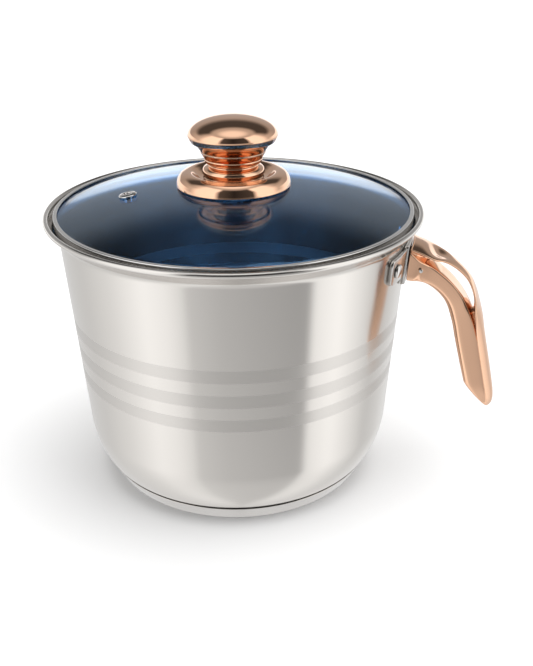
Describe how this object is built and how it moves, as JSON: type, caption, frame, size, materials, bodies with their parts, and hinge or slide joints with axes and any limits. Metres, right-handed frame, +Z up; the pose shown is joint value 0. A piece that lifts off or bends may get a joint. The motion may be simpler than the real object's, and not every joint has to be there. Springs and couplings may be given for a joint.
{
  "type": "saucepan with glass lid",
  "caption": "Deep stainless saucepan with a rolled rim, bonded base and cast loop handle, closed by a domed tinted glass lid with a steam vent and a mushroom knob.",
  "frame": {"origin": "on the pan's axis at the underside of the base", "axes": "+Z up along the pan's axis, +X towards the handle"},
  "size_m": [0.2099, 0.172, 0.1703],
  "materials": {
    "pan_steel": "polished body with three satin bands",
    "base_steel": "satin",
    "core_aluminium": "plain",
    "bracket_steel": "polished",
    "rivet_steel": "polished",
    "handle_rose_gold": "polished rose gold plating",
    "knob_rose_gold": "polished rose gold plating",
    "lid_glass": "clear tempered, blue tint",
    "hoop_steel": "polished",
    "core_zinc": "die cast",
    "silicone": "matte"
  },
  "bodies": {
    "pan": {"pan_shell": "pan_steel", "base_cap": "base_steel", "base_core_disc": "core_aluminium", "handle_bracket": "bracket_steel", "bracket_rivet_front": "rivet_steel", "bracket_rivet_rear": "rivet_steel", "handle_grip": "handle_rose_gold", "handle_cross_pin": "rivet_steel"},
    "lid": {"lid_glass": "lid_glass", "lid_hoop": "hoop_steel", "steam_vent_eyelet": "hoop_steel", "knob_flange": "knob_rose_gold", "knob_neck": "knob_rose_gold", "knob_cone": "knob_rose_gold", "knob_cap": "knob_rose_gold", "knob_core": "core_zinc", "knob_screw": "rivet_steel", "screw_washer": "rivet_steel", "lower_gasket": "silicone", "upper_gasket": "silicone"}
  },
  "joints": [
    {"name": "lid_lift", "type": "slide", "parent": "pan", "child": "lid", "axis": [0, 0, 1], "range_m": [0, 0.18]}
  ]
}
